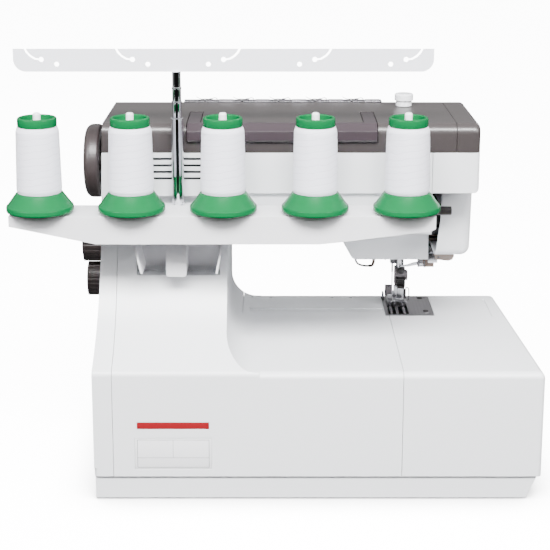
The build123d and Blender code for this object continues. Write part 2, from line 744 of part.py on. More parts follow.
with BuildPart() as thread_guide_plate:
    slab(-103, 90, -86, -73, top_z + 0.4, top_z + 1.4)
    slab(-103, 90, -85.6, -84.6, top_z - 2, top_z + 1)
    for number in range(5):
        x = 49.0 - 35.7 * number
        slab(x - 7, x + 7, -78, -74.5, top_z + 1.2, top_z + 3.0)
        rod(upright(x + 15, -81.5, top_z + 1), 1.6, 2.0)
        slab(x + 19, x + 21, -81, -70, top_z, top_z + 4, mode=Mode.SUBTRACT)

with BuildPart() as carry_handle:
    grip = [(34, 312), (34, 328), (40, 328), (49, 322), (49, 314), (47, 312)]
    prism(along_x(handle_x0, 0, 0), grip, handle_x1 - handle_x0)
    for x0 in (handle_x0, handle_x1 - handle_arm_w):
        slab(x0, x0 + handle_arm_w, handle_pivot_y, 40, 320, 328)
        rod(along_x(x0, handle_pivot_y, handle_pivot_z), 4, handle_arm_w)
    rod(along_x(handle_x0 - 3, handle_pivot_y, handle_pivot_z), 2.3, 4)
    rod(along_x(handle_x1 - 1, handle_pivot_y, handle_pivot_z), 2.3, 4)

# ---------------------------------------------------------------- spool stand
tray_line = [
    (-138.8, tray_top_z), (-138.8, 246.0), (-134.0, 243.8), (-59.4, 234.5), (-37.4, 232.2),
    (157.6, 232.2), (233.6, 248), (233.6, tray_top_z),
]
with BuildPart() as spool_tray:
    with BuildSketch(Plane.XZ.offset(-tray_y1)) as outline:
        with BuildLine():
            Polyline(*tray_line, close=True)
        make_face()
    extrude(amount=tray_y1 - tray_y0)
    fillet(spool_tray.edges().filter_by(Axis.Z), 1.2)
    # a shell that is open below
    under = [(-136.4, tray_top_z - 2.5), (-136.4, 220), (231, 220), (231, tray_top_z - 2.5)]
    prism(Plane.XZ.offset(-tray_y1 + 2.4), under, tray_y1 - tray_y0 - 4.8, mode=Mode.SUBTRACT)
    # tongue into the rear pocket, its neck, and the ribs below
    tongue = [(54.1, 196.5), (123.5, 196.5), (126.6, 212), (126.6, 250), (52.4, 250), (52.4, 212)]
    prism(Plane.XZ.offset(-46), tongue, 5)
    slab(60, 119, 45.5, tray_y0 + 1, 238, 255.8)
    slab(80.8, 99.2, 45.5, 76, 194.5, tray_top_z - 2)
    fillet(spool_tray.edges().filter_by(Axis.Y).sort_by_distance((80.8, 60, 194.5))[0], 3)
    fillet(spool_tray.edges().filter_by(Axis.Y).sort_by_distance((99.2, 60, 194.5))[0], 3)
    for low_x, high_x in ((119.0, 131.6), (52.4, 41.8)):
        rib = [(low_x, 201), (low_x + 2, 201), (high_x + 2, tray_top_z - 2), (high_x, tray_top_z - 2)]
        prism(Plane.XZ.offset(-88), rib, 35.5)

with BuildPart() as spool_pins:
    for x in spool_x:
        rod(upright(x, spool_y, tray_top_z), pin_r, pin_top_z - tray_top_z)
    fillet(spool_pins.edges().group_by(Axis.Z)[-1], 2)


def spool(x):
    """A king spool: a cone foot, a hollow tube and a top rim, with the wound thread as its own solid."""
    profile = [
        (4.3, spool_z0), (spool_r, spool_z0), (spool_r, spool_z0 + 4.6), (20.4, cone_z), (11, cone_z),
        (11, rim_z), (17, rim_z), (17, spool_z1), (15, spool_z1 - 0.01), (4.3, spool_z1 - 0.01),
    ]
    turn_profile(x, profile)


def turn_profile(x, profile):
    """Turns an outline of radius and height about a spool's axis."""
    with BuildSketch(Plane(origin=(x, spool_y, 0), x_dir=(1, 0, 0), z_dir=(0, -1, 0))) as half:
        with BuildLine():
            Polyline(*profile, close=True)
        make_face()
    revolve(half.sketch, axis=Axis((x, spool_y, 0), (0, 0, 1)))


for number, x in enumerate(spool_x, start=1):
    with BuildPart() as reel:
        spool(x)
        low, high = cone_z + 0.05, rim_z - 0.05
        turn_profile(x, [(11.05, low), (thread_r0, low), (thread_r1, high), (11.05, high)])
    save(reel, f"spool_{number}")


def tube(radius, bore, z0, z1, collar=0, collar_z=0):
    """A telescopic stage with an optional wider collar at its top."""
    rod(upright(antenna_x, antenna_y, z0), radius, z1 - z0)
    if collar:
        rod(upright(antenna_x, antenna_y, collar_z), collar, z1 - collar_z)
    if bore:
        rod(upright(antenna_x, antenna_y, z0 - 1), bore, z1 - z0 + 2, mode=Mode.SUBTRACT)


with BuildPart() as antenna_base_tube:
    tube(5.6, 4.5, 255.8, 335.7)
    rod(upright(antenna_x, antenna_y, 255.8), 5.95, 3)
    rod(upright(antenna_x, antenna_y, 255), 4.5, 5, mode=Mode.SUBTRACT)

with BuildPart() as antenna_middle_tube:
    tube(4.45, 3.75, 262, 350.6)

with BuildPart() as antenna_upper_tube:
    tube(3.7, 3.05, 266, 363.1, 4.05, 350.9)

with BuildPart() as antenna_rod:
    tube(3.0, 0, 270, guide_z0, 3.85, 363.4)

with BuildPart() as thread_guide_bar:
    slab(guide_x0, guide_x1, antenna_y - guide_t / 2, antenna_y + guide_t / 2, guide_z0, guide_z1)
    fillet(thread_guide_bar.edges().filter_by(Axis.Y).group_by(Axis.Z)[0], 11)
    for number, x in enumerate(spool_x):
        side = 1 if number < 2 else -1
        hook = [
            (0, 388.2), (5, 389), (9, 391.5), (12, 394.8), (13.5, 398),
            (15.6, 398), (13.6, 393.6), (10.2, 390), (5.8, 387.4), (0, 386.6),
        ]
        rod(along_y(x, antenna_y + 3, 387.6), 2.3, 6, mode=Mode.SUBTRACT)
        prism(Plane.XZ.offset(-antenna_y - 3), [(x + side * u, z) for u, z in hook], 6, mode=Mode.SUBTRACT)
        rod(along_y(x - 13.5 * side, antenna_y + 3, 383.4), 2.2, 6, mode=Mode.SUBTRACT)

pieces = {
    "main_frame": main_frame, "base_pan": base_pan, "rubber_feet": rubber_feet, "rear_cover": rear_cover,
    "side_cover": side_cover, "bed_end_cover": bed_end_cover, "front_cover": front_cover,
    "top_cover": top_cover, "top_end_cap": top_end_cap, "face_cover": face_cover,
    "looper_cover": looper_cover, "bed_front_panel": bed_front_panel, "needle_plate": needle_plate,
    "plate_screws": plate_screws, "feed_dog": feed_dog, "presser_bar": presser_bar,
    "presser_ankle": presser_ankle, "presser_foot": presser_foot, "foot_release_lever": foot_release_lever,
    "lifter_lever": lifter_lever, "needle_bar": needle_bar, "needle_clamp": needle_clamp, "needles": needles,
    "upper_looper": upper_looper, "lower_looper": lower_looper, "chain_looper": chain_looper,
    "upper_knife": upper_knife, "lower_knife": lower_knife, "handwheel": handwheel, "arm_shaft": arm_shaft,
    "lower_shaft": lower_shaft, "timing_belt": timing_belt, "arm_pulley": arm_pulley,
    "lower_pulley": lower_pulley, "drive_motor": drive_motor, "motor_pulley": motor_pulley,
    "stitch_length_dial": stitch_length_dial, "differential_dial": differential_dial,
    "pressure_dial": pressure_dial, "power_switch": power_switch, "power_inlet": power_inlet,
    "thread_guide_plate": thread_guide_plate, "carry_handle": carry_handle, "spool_tray": spool_tray,
    "spool_pins": spool_pins, "antenna_base_tube": antenna_base_tube,
    "antenna_middle_tube": antenna_middle_tube, "antenna_upper_tube": antenna_upper_tube,
    "antenna_rod": antenna_rod, "thread_guide_bar": thread_guide_bar,
}
for name, piece in pieces.items():
    save(piece, name)
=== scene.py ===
from math import cos, pi, radians, sin

import bmesh
import bpy
from mathutils import Matrix, Vector


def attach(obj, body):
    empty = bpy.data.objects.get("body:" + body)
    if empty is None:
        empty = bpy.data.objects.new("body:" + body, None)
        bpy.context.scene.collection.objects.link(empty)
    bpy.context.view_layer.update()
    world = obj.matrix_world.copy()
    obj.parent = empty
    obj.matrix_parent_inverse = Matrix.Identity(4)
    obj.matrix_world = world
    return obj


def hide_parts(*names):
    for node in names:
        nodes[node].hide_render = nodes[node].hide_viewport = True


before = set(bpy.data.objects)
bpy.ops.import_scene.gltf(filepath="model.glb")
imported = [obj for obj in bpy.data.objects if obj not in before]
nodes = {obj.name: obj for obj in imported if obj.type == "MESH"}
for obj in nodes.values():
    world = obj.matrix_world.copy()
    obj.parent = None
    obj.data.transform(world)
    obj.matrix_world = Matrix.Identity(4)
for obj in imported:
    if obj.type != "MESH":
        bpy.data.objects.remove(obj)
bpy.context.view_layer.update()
MM = 0.001
ONTO_REAR = Matrix.Rotation(radians(-90), 3, "X")  # turns an upright axis to point at the rear

SPOOL_X = [207.5 - 80.4 * i for i in range(5)]
SPOOL_Y = 90.0
SPOOL_LOW, SPOOL_HIGH = 257.35, 342.45             # underside of the foot, top of the rim
SPOOL_BORE = 4.3
WOUND_LOW, WOUND_HIGH = 276.3, 334.3               # thread on the spool
WOUND_R, WOUND_TAPER = 19.9, 1.3
WOUND_STEPS = 58

ANTENNA_XY = (88.6, 54.0)
PLATE_TOP_Z = 120.2                                # needle plate
GUIDE_FIRST_X, GUIDE_PITCH = 49.0, 35.7            # tabs of the thread guides on top

CAMERA_AT = (0.00363, 1.32713, 0.55861)
CAMERA_TILT = 13.54                                # degrees below level
LENS, SENSOR = 94.91, 36.0
LENS_SHIFT = (0.0045, -0.12)


# ---------------------------------------------------------------- materials
class Tree:
    """A small helper that adds and joins shader nodes."""

    def __init__(self, name):
        self.material = bpy.data.materials.new(name)
        self.material.use_nodes = True
        self.tree = self.material.node_tree
        self.shader = self.tree.nodes["Principled BSDF"]
        self.coords = self.tree.nodes.new("ShaderNodeTexCoord")

    def add(self, kind, inputs=None, **settings):
        made = self.tree.nodes.new(kind)
        for key, value in settings.items():
            setattr(made, key, value)
        for key, value in (inputs or {}).items():
            if hasattr(value, "is_output"):
                self.tree.links.new(value, made.inputs[key])
            else:
                made.inputs[key].default_value = value
        return made

    def link(self, output, key):
        self.tree.links.new(output, self.shader.inputs[key])


def rgb(color, gain=1.0):
    return (min(color[0] * gain, 1), min(color[1] * gain, 1), min(color[2] * gain, 1), 1)


def finish(name, color, rough, metal=0.0, grain=60, depth=0.02, spread=0.06, wear=0.12, coat=0.0,
           round_edge=0.0006, stretch=(1, 1, 1), sheen=0.5):
    """A surface with fine grain, uneven gloss and a slow drift in tone."""
    t = Tree(name)
    place = t.add("ShaderNodeMapping", {"Vector": t.coords.outputs["Object"], "Scale": stretch}).outputs[0]
    slow = t.add("ShaderNodeTexNoise", {"Vector": place, "Scale": 9.0, "Detail": 3.0, "Roughness": 0.55})
    fine = t.add("ShaderNodeTexNoise", {
        "Vector": place, "Scale": grain * 12.0, "Detail": 2.0, "Roughness": 0.5})
    tone = t.add("ShaderNodeMix", {"Factor": slow.outputs["Fac"]}, data_type="RGBA")
    tone.inputs["A"].default_value = rgb(color, 1 - spread)
    tone.inputs["B"].default_value = rgb(color, 1 + spread)
    t.link(tone.outputs["Result"], "Base Color")
    gloss = t.add("ShaderNodeMapRange", {
        "Value": slow.outputs["Fac"], "From Min": 0.3, "From Max": 0.7,
        "To Min": rough * (1 - wear), "To Max": min(rough * (1 + wear), 1.0)})
    t.link(gloss.outputs["Result"], "Roughness")
    t.shader.inputs["Metallic"].default_value = metal
    t.shader.inputs["Specular IOR Level"].default_value = sheen
    t.shader.inputs["Coat Weight"].default_value = coat
    t.shader.inputs["Coat Roughness"].default_value = 0.12
    bump = t.add("ShaderNodeBump", {
        "Height": fine.outputs["Fac"], "Strength": depth * 4, "Distance": 0.0004})
    if round_edge:
        soft = t.add("ShaderNodeBevel", {"Radius": round_edge}, samples=4)
        t.tree.links.new(soft.outputs["Normal"], bump.inputs["Normal"])
    t.link(bump.outputs["Normal"], "Normal")
    return t.material


def brushed(name, color, rough, axis=(1, 1, 60), depth=0.05):
    return finish(name, color, rough, metal=1.0, grain=20, depth=depth, spread=0.10, wear=0.25,
                  stretch=axis, round_edge=0.0003)


white = finish("white_shell", (0.78, 0.79, 0.81), 0.34, grain=70, depth=0.03, spread=0.018)
white_gloss = finish("white_gloss", (0.80, 0.805, 0.83), 0.22, grain=40, depth=0.02, spread=0.015)
tray_white = finish("tray_white", (0.77, 0.765, 0.79), 0.38, grain=60, depth=0.03, spread=0.02)
taupe = finish("taupe_cover", (0.040, 0.034, 0.034), 0.34, grain=50, depth=0.03, spread=0.05, coat=0.1)
mauve = finish("mauve_handle", (0.034, 0.025, 0.030), 0.36, grain=50, depth=0.04, spread=0.06)
brown = finish("brown_control", (0.036, 0.028, 0.028), 0.34, grain=50, depth=0.04, spread=0.07)
dark = finish("dark_plastic", (0.010, 0.008, 0.008), 0.42, grain=80, depth=0.06, spread=0.2)
# a near-black finish used as painted shade behind the vent slots and in the gap behind the head, and also as
# the colour of the ankle's side knob
shade_and_knob_black = finish("painted_shade_and_knob_black", (0.008, 0.007, 0.008), 0.6, grain=60, depth=0.06, spread=0.2)
green = finish("green_spool", (0.0, 0.105, 0.03), 0.25, grain=30, depth=0.02, spread=0.05, sheen=0.12)
plate_steel = brushed("plate_steel", (0.30, 0.29, 0.31), 0.38, axis=(60, 1, 1))
steel = brushed("steel", (0.24, 0.235, 0.245), 0.36)
bright = finish("bright_steel", (0.52, 0.52, 0.54), 0.2, metal=1.0, grain=30, depth=0.01, spread=0.03,
                round_edge=0.0002)
chrome = finish("chrome", (0.80, 0.80, 0.83), 0.05, metal=1.0, grain=30, depth=0.004, spread=0.02,
                round_edge=0)
cast = finish("cast_frame", (0.42, 0.42, 0.44), 0.55, metal=1.0, grain=30, depth=0.12, spread=0.12)
paint = finish("guide_paint", (0.80, 0.805, 0.86), 0.36, grain=90, depth=0.05, spread=0.015,
               round_edge=0.0003)
rubber = finish("rubber", (0.02, 0.02, 0.02), 0.75, grain=60, depth=0.15, spread=0.2)
motor = finish("motor_black", (0.025, 0.025, 0.028), 0.4, grain=60, depth=0.08, spread=0.15)
gunmetal = finish("gunmetal", (0.13, 0.12, 0.125), 0.38, metal=1.0, grain=40, depth=0.04, spread=0.1)
bronze = finish("worn_bronze", (0.16, 0.125, 0.105), 0.42, metal=1.0, grain=40, depth=0.06, spread=0.15)
beige = finish("beige_plastic", (0.30, 0.245, 0.215), 0.42, grain=60, depth=0.04, spread=0.06)
label_tone = finish("label_stock", (0.80, 0.80, 0.82), 0.30, grain=30, depth=0.01, spread=0.01)
ink = finish("label_line", (0.16, 0.16, 0.17), 0.5, grain=60, depth=0.02, spread=0.1)
accent_tone = finish("strip_red", (0.22, 0.008, 0.012), 0.35, grain=60, depth=0.02, spread=0.05,
                     sheen=0.3)


def thread_finish():
    """Thread wound in crossing layers: two families of fine strands, with a few darker turns."""
    t = Tree("thread")
    uv = t.coords.outputs["UV"]
    heights = []
    for tilt in (3.6, -3.6):
        turned = t.add("ShaderNodeMapping", {"Vector": uv, "Rotation": (0, 0, radians(90 + tilt))})
        wave = t.add("ShaderNodeTexWave", {
            "Vector": turned.outputs[0], "Scale": 150.0 / 1.9, "Distortion": 0.8, "Detail": 1.0,
            "Detail Scale": 0.6})
        heights.append(wave.outputs["Fac"])
    patch = t.add("ShaderNodeTexNoise", {"Vector": uv, "Scale": 7.0, "Detail": 2.0})
    share = t.add("ShaderNodeMapRange", {
        "Value": patch.outputs["Fac"], "From Min": 0.42, "From Max": 0.58})
    both = t.add("ShaderNodeMix", {"Factor": share.outputs["Result"]}, data_type="FLOAT")
    t.tree.links.new(heights[0], both.inputs[2])
    t.tree.links.new(heights[1], both.inputs[3])
    stray = t.add("ShaderNodeTexWave", {
        "Vector": t.add("ShaderNodeMapping", {"Vector": uv, "Rotation": (0, 0, radians(83))}).outputs[0],
        "Scale": 3.3, "Distortion": 3.0, "Detail": 2.0, "Detail Scale": 1.2})
    line = t.add("ShaderNodeMapRange", {
        "Value": stray.outputs["Fac"], "From Min": 0.0, "From Max": 0.03, "To Min": 0.0, "To Max": 1.0})
    tone = t.add("ShaderNodeMix", {"Factor": line.outputs["Result"]}, data_type="RGBA")
    tone.inputs["A"].default_value = (0.66, 0.655, 0.74, 1)
    tone.inputs["B"].default_value = (0.80, 0.80, 0.88, 1)
    t.link(tone.outputs["Result"], "Base Color")
    t.shader.inputs["Roughness"].default_value = 0.62
    t.shader.inputs["Sheen Weight"].default_value = 0.25
    bump = t.add("ShaderNodeBump", {
        "Height": both.outputs["Result"], "Strength": 0.3, "Distance": 0.0002})
    deep = t.add("ShaderNodeBump", {
        "Height": line.outputs["Result"], "Strength": 0.2, "Distance": 0.0002,
        "Normal": bump.outputs["Normal"]})
    t.link(deep.outputs["Normal"], "Normal")
    return t.material


thread = thread_finish()

looks = {
    "main_frame": cast, "base_pan": white, "rubber_feet": rubber, "rear_cover": white, "side_cover": white,
    "bed_end_cover": white, "front_cover": white, "top_cover": taupe, "top_end_cap": taupe,
    "face_cover": white, "looper_cover": white, "bed_front_panel": white, "needle_plate": plate_steel,
    "plate_screws": steel, "feed_dog": steel, "presser_bar": bright, "presser_ankle": gunmetal,
    "presser_foot": bright, "foot_release_lever": dark, "lifter_lever": dark, "needle_bar": bright,
    "needle_clamp": steel, "needles": chrome, "upper_looper": steel, "lower_looper": steel,
    "chain_looper": steel, "upper_knife": steel, "lower_knife": steel, "handwheel": brown,
    "arm_shaft": steel, "lower_shaft": steel, "timing_belt": rubber, "arm_pulley": steel,
    "lower_pulley": steel, "drive_motor": motor, "motor_pulley": steel, "stitch_length_dial": brown,
    "differential_dial": brown, "pressure_dial": white_gloss, "tension_dial_1": brown,
    "tension_dial_2": brown, "tension_dial_3": brown, "tension_dial_4": brown, "tension_dial_5": brown,
    "power_switch": dark, "power_inlet": dark, "thread_guide_plate": plate_steel, "carry_handle": mauve,
    "spool_tray": tray_white, "spool_pins": white_gloss, "antenna_base_tube": chrome,
    "antenna_middle_tube": chrome, "antenna_upper_tube": chrome, "antenna_rod": chrome,
    "thread_guide_bar": paint, "spool_1": green, "spool_2": green, "spool_3": green, "spool_4": green,
    "spool_5": green,
}
for name, piece in nodes.items():
    piece.data.materials.clear()
    piece.data.materials.append(looks[name])
    piece.data.shade_smooth()
    piece.data.set_sharp_from_angle(angle=radians(28))


# ---------------------------------------------------------------- builders
def show(mesh_name, bm, material, body, angle=30):
    """Turns a bmesh into a named piece that rides on a body and wears the given material."""
    mesh = bpy.data.meshes.new(mesh_name)
    bmesh.ops.recalc_face_normals(bm, faces=bm.faces)
    bm.to_mesh(mesh)
    bm.free()
    piece = bpy.data.objects.new(mesh_name, mesh)
    bpy.context.scene.collection.objects.link(piece)
    mesh.materials.append(material)
    mesh.shade_smooth()
    mesh.set_sharp_from_angle(angle=radians(angle))
    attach(piece, body)
    return piece


def lathe(bm, profile, steps, centre, turn=Matrix.Identity(3), closed=True, uv=False):
    """Turns (radius, height) points in millimetres about the axis through centre."""
    layer = bm.loops.layers.uv.verify() if uv else None
    rings = []
    for r, h in profile:
        ring = []
        for i in range(steps):
            a = 2 * pi * i / steps
            p = turn @ Vector((r * cos(a), r * sin(a), h))
            ring.append(bm.verts.new((p + Vector(centre)) * MM))
        rings.append(ring)
    for k, (a, b) in enumerate(zip(rings, rings[1:] + (rings[:1] if closed else []))):
        for i in range(steps):
            j = (i + 1) % steps
            face = bm.faces.new((a[i], a[j], b[j], b[i]))
            if layer:
                h0, h1 = profile[k][1] / 60, profile[(k + 1) % len(profile)][1] / 60
                for loop, (u, v) in zip(face.loops, ((i, h0), (i + 1, h0), (i + 1, h1), (i, h1))):
                    loop[layer].uv = (u / steps * 2.1, v)


def block(bm, x0, x1, y0, y1, z0, z1, edge=0.4):
    """A block with softened edges."""
    verts = bmesh.ops.create_cube(bm, size=1.0)["verts"]
    for v in verts:
        v.co = Vector((
            (x0 + x1) / 2 + v.co.x * (x1 - x0), (y0 + y1) / 2 + v.co.y * (y1 - y0),
            (z0 + z1) / 2 + v.co.z * (z1 - z0))) * MM
    edges = list({e for v in verts for e in v.link_edges})
    if edge:
        bmesh.ops.bevel(bm, geom=edges, offset=edge * MM, segments=2, affect="EDGES", profile=0.7)


def wire(name, points, section, material, body, sides=10):
    """A bent wire: an oval section carried along a smooth line through the points, in millimetres."""
    pts = [Vector(p) for p in points]
    line = []
    for k in range(len(pts) - 1):
        p0, p1, p2, p3 = pts[max(k - 1, 0)], pts[k], pts[k + 1], pts[min(k + 2, len(pts) - 1)]
        for s in range(8):
            t = s / 8
            line.append(0.5 * ((2 * p1) + (p2 - p0) * t + (2 * p0 - 5 * p1 + 4 * p2 - p3) * t * t
                               + (3 * p1 - p0 - 3 * p2 + p3) * t ** 3))
    line.append(pts[-1])
    bm = bmesh.new()
    rings, up = [], Vector((0.31, 0.22, 0.92)).normalized()
    for k, p in enumerate(line):
        ahead = (line[min(k + 1, len(line) - 1)] - line[max(k - 1, 0)]).normalized()
        side = ahead.cross(up).normalized()
        lift = side.cross(ahead).normalized()
        wide, tall = section
        ring = []
        for i in range(sides):
            a = 2 * pi * i / sides
            ring.append(bm.verts.new((p + side * wide * cos(a) + lift * tall * sin(a)) * MM))
        rings.append(ring)
    for a, b in zip(rings, rings[1:]):
        for i in range(sides):
            j = (i + 1) % sides
            bm.faces.new((a[i], a[j], b[j], b[i]))
    bm.faces.new(rings[0])
    bm.faces.new(rings[-1])
    show(name, bm, material, body, angle=60)


def plate_prism(bm, outline, depth, y):
    """A flat (x, z) outline in millimetres, given depth towards the rear from y."""
    low = [bm.verts.new(Vector((u, y, v)) * MM) for u, v in outline]
    high = [bm.verts.new(Vector((u, y + depth, v)) * MM) for u, v in outline]
    n = len(outline)
    bm.faces.new(low)
    bm.faces.new(list(reversed(high)))
    for i in range(n):
        j = (i + 1) % n
        bm.faces.new((low[i], high[i], high[j], low[j]))


# ---------------------------------------------------------------- spools
for number, x in enumerate(SPOOL_X, start=1):
    centre = (x, SPOOL_Y, 0)
    bm = bmesh.new()
    foot = [
        (SPOOL_BORE, SPOOL_LOW), (16.8, SPOOL_LOW), (17.4, 257.7), (17.6, 258.6), (27.4, 258.9),
        (28.9, 259.4), (29.5, 260.4), (29.5, 263.6), (29.1, 264.5), (28.2, 265.2), (20.6, 275.6),
        (19.6, 276.1), (11, 276.1), (SPOOL_BORE, 276.1),
    ]
    lathe(bm, foot, 72, centre)
    top = [
        (11.0, 334.4), (16.2, 334.4), (17.0, 335.0), (17.2, 336.0), (17.2, 340.8), (16.8, 341.9),
        (16.0, SPOOL_HIGH), (15.0, 342.4), (14.4, 341.6), (14.0, 337.6), (7.0, 336.8), (6.6, 339.0),
        (SPOOL_BORE, 339.0), (SPOOL_BORE, 334.4),
    ]
    lathe(bm, top, 72, centre)
    core = [(11.0, 275.5), (11.2, 276.5), (11.2, 334), (11.0, 335), (SPOOL_BORE, 335), (SPOOL_BORE, 275.5)]
    lathe(bm, core, 48, centre)
    piece = show(f"spool_body_{number}", bm, green, f"reel_{number}", angle=24)
    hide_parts(f"spool_{number}")
    bm = bmesh.new()
    wound = [(11.3, WOUND_LOW)]
    for k in range(WOUND_STEPS + 1):
        s = k / WOUND_STEPS
        ridge = 0.05 * sin(k * 2.1 + number) + 0.03 * sin(k * 5.3 + number * 2)
        end = 0.9 * max(0, 1 - s * 22) + 1.3 * max(0, 1 - (1 - s) * 16)
        wound.append((WOUND_R - WOUND_TAPER * s + ridge - end, WOUND_LOW + (WOUND_HIGH - WOUND_LOW) * s))
    wound.append((11.3, WOUND_HIGH))
    lathe(bm, wound, 96, centre, uv=True)
    show(f"spool_thread_{number}", bm, thread, f"reel_{number}", angle=50)

# ---------------------------------------------------------------- antenna lips
for name, body, z, r in (
    ("antenna_lip_1", "machine_body", 335.0, 5.9), ("antenna_lip_2", "antenna_stage_1", 349.9, 4.75),
    ("antenna_lip_3", "antenna_stage_2", 362.4, 4.4),
):
    bm = bmesh.new()
    lip = [
        (r - 1.0, z - 1.2), (r - 0.2, z - 1.1), (r, z - 0.6), (r, z + 0.2), (r - 0.3, z + 0.62),
        (r - 1.0, z + 0.65),
    ]
    lathe(bm, lip, 40, (*ANTENNA_XY, 0))
    show(name, bm, chrome, body)

# ---------------------------------------------------------------- rating plate and strip, both without text
bm = bmesh.new()
block(bm, 58, 126, 121.55, 121.85, 29.6, 58.6, edge=0.1)
show("rating_plate", bm, label_tone, "machine_body")
bm = bmesh.new()
for x0, x1, z0, z1 in (
    (60, 124, 56.9, 57.3), (60, 124, 30.9, 31.3), (59.9, 60.3, 30.9, 57.3), (123.7, 124.1, 30.9, 57.3),
    (60, 124, 40.0, 40.3), (92, 92.3, 40.0, 57),
):
    block(bm, x0, x1, 121.8, 121.92, z0, z1, edge=0)
show("rating_plate_rules", bm, ink, "machine_body")
bm = bmesh.new()
block(bm, 60, 124, 121.55, 121.9, 67.5, 73.5, edge=0.15)
show("plain_strip", bm, accent_tone, "machine_body")

# ---------------------------------------------------------------- painted shade: a dark sheet behind the vent slots, so they read black
bm = bmesh.new()
block(bm, 57, 128, 40.0, 42.2, 274, 300, edge=0.4)
show("vent_painted_shade", bm, shade_and_knob_black, "machine_body")

# ---------------------------------------------------------------- between the head and the face cover
# painted shade: dark blocks standing for the shaded inside of the gap behind the head
bm = bmesh.new()
for x0, x1, y0, y1, z0, z1 in (
    (-165, -147.4, -52, -46.5, 183, 232), (-158, -147.4, -37, -33, 216, 233.6),
    (-157.5, -148, -46, -40.5, 246.5, 263),
):
    block(bm, x0, x1, y0, y1, z0, z1, edge=0.4)
show("head_gap_painted_shade", bm, shade_and_knob_black, "machine_body")
bm = bmesh.new()
for z0, z1, y0 in ((203.6, 209.8, -46), (187.5, 189.2, -45.6)):
    block(bm, -162, -147.6, y0, y0 + 3, z0, z1, edge=0.5)
button = [(0.1, 0), (3.0, 0), (3.2, 0.5), (3.2, 2.6), (2.4, 3.2), (0.1, 3.2)]
lathe(bm, button, 24, (-152.4, -43, 206.6), ONTO_REAR, closed=False)
show("head_link_plates", bm, steel, "machine_body")
bm = bmesh.new()
block(bm, -163, -147.6, -46, -42.5, 196.6, 199.6, edge=0.6)
block(bm, -161, -147.6, -46, -43.5, 201.0, 202.4, edge=0.4)
show("head_bronze_band", bm, bronze, "machine_body")
bm = bmesh.new()
slant = [(-147.7, 191.5), (-149.4, 191.8), (-156.5, 184.2), (-156.5, 181.2), (-154.6, 181.2), (-147.7, 188.6)]
plate_prism(bm, slant, 2.4, -44.4)
block(bm, -157.5, -148.2, -44, -38, 175.6, 185.4, edge=0.7)
show("head_silver_link", bm, bright, "machine_body")
bm = bmesh.new()
guard = [
    (-153.2, 187.6), (-171.6, 187.6), (-172.6, 185.6), (-170.6, 181.6), (-166.5, 180.4), (-163.5, 181.2),
    (-154.0, 181.6),
]
plate_prism(bm, guard, 5.0, -33)
bmesh.ops.bevel(bm, geom=list(bm.edges), offset=0.35 * MM, segments=2, affect="EDGES")
show("finger_guard", bm, beige, "machine_body")
bm = bmesh.new()
pin_head = [(0.1, 0), (0.9, 0), (1.0, 0.2), (0.8, 0.45), (0.1, 0.5)]
lathe(bm, pin_head, 16, (-157.4, -28.1, 184.4), ONTO_REAR, closed=False)
show("finger_guard_pin", bm, ink, "machine_body")

# ---------------------------------------------------------------- link and thread guard under the head
bm = bmesh.new()
block(bm, -156.0, -147.4, -62, -55, 166.6, 176.0, edge=0.8)
block(bm, -153.0, -145.8, -63.5, -61, 168.0, 174.0, edge=0.6)
show("link_bearing", bm, bronze, "machine_body")
bm = bmesh.new()
block(bm, -148.6, -146.6, -68, -60, 164.8, 171.4, edge=0.4)
block(bm, -142.4, -140.8, -68, -62, 164.6, 171.2, edge=0.4)
block(bm, -147, -141, -68, -63, 169.9, 171.2, edge=0.3)
block(bm, -147, -141, -68, -63, 164.7, 165.6, edge=0.3)
show("link_cage", bm, steel, "machine_body")
bm = bmesh.new()
block(bm, -146.8, -142.2, -67.4, -63, 165.8, 169.8, edge=0.5)
band = [
    (-141.6, 165.4), (-141.6, 168.6), (-136.5, 167.6), (-131.0, 165.4), (-125.4, 164.7), (-125.4, 163.2),
    (-131.5, 163.4), (-137, 164.4),
]
plate_prism(bm, band, 1.6, -69.4)
long_edges = [e for e in bm.edges if e.calc_length() > 0.5 * MM]
bmesh.ops.bevel(bm, geom=long_edges, offset=0.15 * MM, segments=1, affect="EDGES")
show("link_strip", bm, bright, "machine_body")
guard_path = [
    (-77.9, -52, 184), (-78.1, -50, 176), (-80.6, -50, 171.6), (-86, -50, 169.6), (-92.4, -50, 169.3),
]
wire("thread_guard_wire", guard_path, (1.05, 1.05), dark, "machine_body")
stem_path = [
    (-91.4, -50, 169.3), (-94.6, -50, 170.2), (-95.8, -50, 173.4), (-96.4, -50, 176.4), (-99.8, -50, 178.0),
]
wire("thread_guard_stem", stem_path, (1.9, 1.3), bronze, "machine_body")
tip_path = [(-98.6, -50, 177.6), (-102, -50, 178.2), (-105.6, -50, 178.0), (-108.4, -50, 176.9)]
wire("thread_guard_tip", tip_path, (1.5, 1.9), dark, "machine_body")

# ---------------------------------------------------------------- springs on the top thread guides
for number in range(5):
    x = GUIDE_FIRST_X - GUIDE_PITCH * number
    spring_path = [
        (x + 27, -74, 330.0), (x + 22, -76, 331.4), (x + 16, -78, 330.9), (x + 11, -78.5, 332.2),
        (x + 8.5, -78.5, 330.8),
    ]
    wire(f"guide_spring_{number + 1}", spring_path, (0.35, 0.35), dark, "machine_body", 6)
    whisker_path = [(x + 29, -77, 333.4), (x + 26, -78, 331.6), (x + 21.5, -79, 330.2)]
    wire(f"guide_whisker_{number + 1}", whisker_path, (0.3, 0.3), dark, "machine_body", 6)

